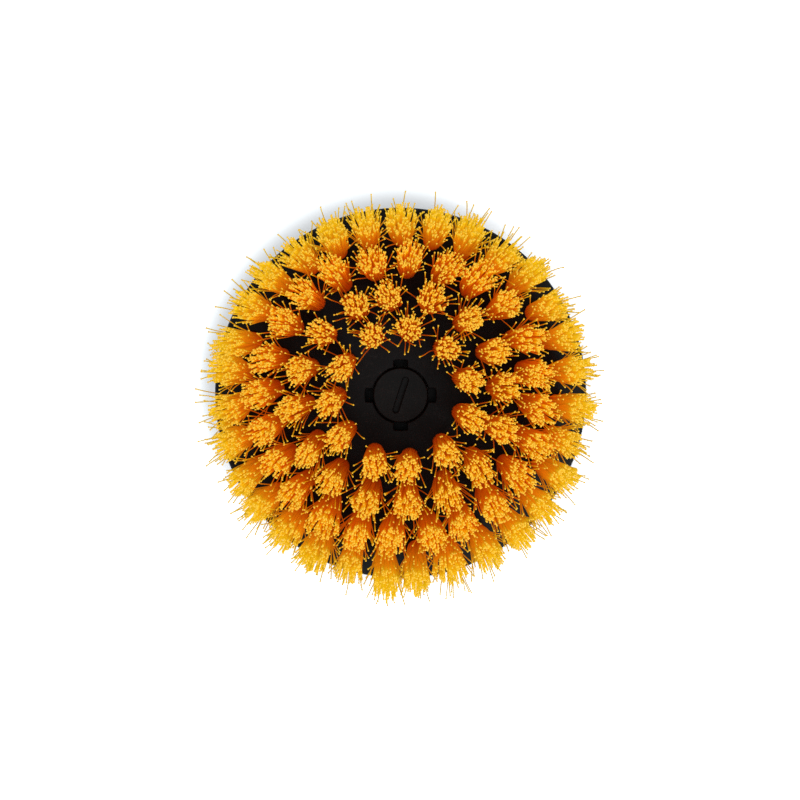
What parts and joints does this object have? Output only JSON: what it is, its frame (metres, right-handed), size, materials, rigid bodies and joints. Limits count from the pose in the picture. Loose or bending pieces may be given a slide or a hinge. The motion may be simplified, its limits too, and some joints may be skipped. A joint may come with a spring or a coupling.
{
  "type": "wheel brush",
  "caption": "Round drill-driven wheel brush with concentric rings of stiff yellow nylon tufts, a black moulded block, a hex shank and a part-turn centre cap.",
  "frame": {"origin": "centre of the free end of the hex shank, on the brush's axis", "axes": "+Z along the brush's axis, from the shank towards the bristles' tips; +X out of one flat of the hex shank and through one of the cap's entry windows"},
  "size_m": [0.125, 0.125, 0.0896],
  "materials": {
    "moulded_plastic": "fine moulded grain, slight sheen",
    "cap_plastic": "fine moulded grain, a little smoother than the block",
    "arbor_steel": "turned and ground",
    "zinc_plate": "bright zinc plate",
    "nut_insert_nylon": "plain",
    "gasket_rubber": "plain",
    "bristle_nylon": "extruded nylon filament, satin, cut ends paler"
  },
  "bodies": {
    "brush": {"brush_block": "moulded_plastic", "drive_arbor": "arbor_steel", "nut_washer": "zinc_plate", "lock_nut": "zinc_plate", "lock_nut_insert": "nut_insert_nylon", "cap_gasket": "gasket_rubber", "tuft_anchor_ring1_01": "zinc_plate", "tuft_anchor_ring1_02": "zinc_plate", "tuft_anchor_ring1_03": "zinc_plate", "tuft_anchor_ring1_04": "zinc_plate", "tuft_anchor_ring1_05": "zinc_plate", "tuft_anchor_ring1_06": "zinc_plate", "tuft_anchor_ring1_07": "zinc_plate", "tuft_anchor_ring1_08": "zinc_plate", "tuft_anchor_ring1_09": "zinc_plate", "tuft_anchor_ring1_10": "zinc_plate", "tuft_anchor_ring1_11": "zinc_plate", "tuft_ring1_01": "bristle_nylon", "tuft_ring1_02": "bristle_nylon", "tuft_ring1_03": "bristle_nylon", "tuft_ring1_04": "bristle_nylon", "tuft_ring1_05": "bristle_nylon", "tuft_ring1_06": "bristle_nylon", "tuft_ring1_07": "bristle_nylon", "tuft_ring1_08": "bristle_nylon", "tuft_ring1_09": "bristle_nylon", "tuft_ring1_10": "bristle_nylon", "tuft_ring1_11": "bristle_nylon", "tuft_ring2_01": "bristle_nylon", "tuft_ring2_02": "bristle_nylon", "tuft_ring2_03": "bristle_nylon", "tuft_ring2_04": "bristle_nylon", "tuft_ring2_05": "bristle_nylon", "tuft_ring2_06": "bristle_nylon", "tuft_ring2_07": "bristle_nylon", "tuft_ring2_08": "bristle_nylon", "tuft_ring2_09": "bristle_nylon", "tuft_ring2_10": "bristle_nylon", "tuft_ring2_11": "bristle_nylon", "tuft_ring2_12": "bristle_nylon", "tuft_ring2_13": "bristle_nylon", "tuft_ring2_14": "bristle_nylon", "tuft_ring2_15": "bristle_nylon", "tuft_ring2_16": "bristle_nylon", "tufts_ring3": "bristle_nylon", "tufts_ring4": "bristle_nylon"},
    "cap": {"centre_cap": "cap_plastic"}
  },
  "joints": [
    {"name": "cap_turn", "type": "hinge", "parent": "brush", "child": "cap", "pos_m": [0, 0, 0.0588], "axis": [0, 0, 1], "range_deg": [0, 45]}
  ]
}
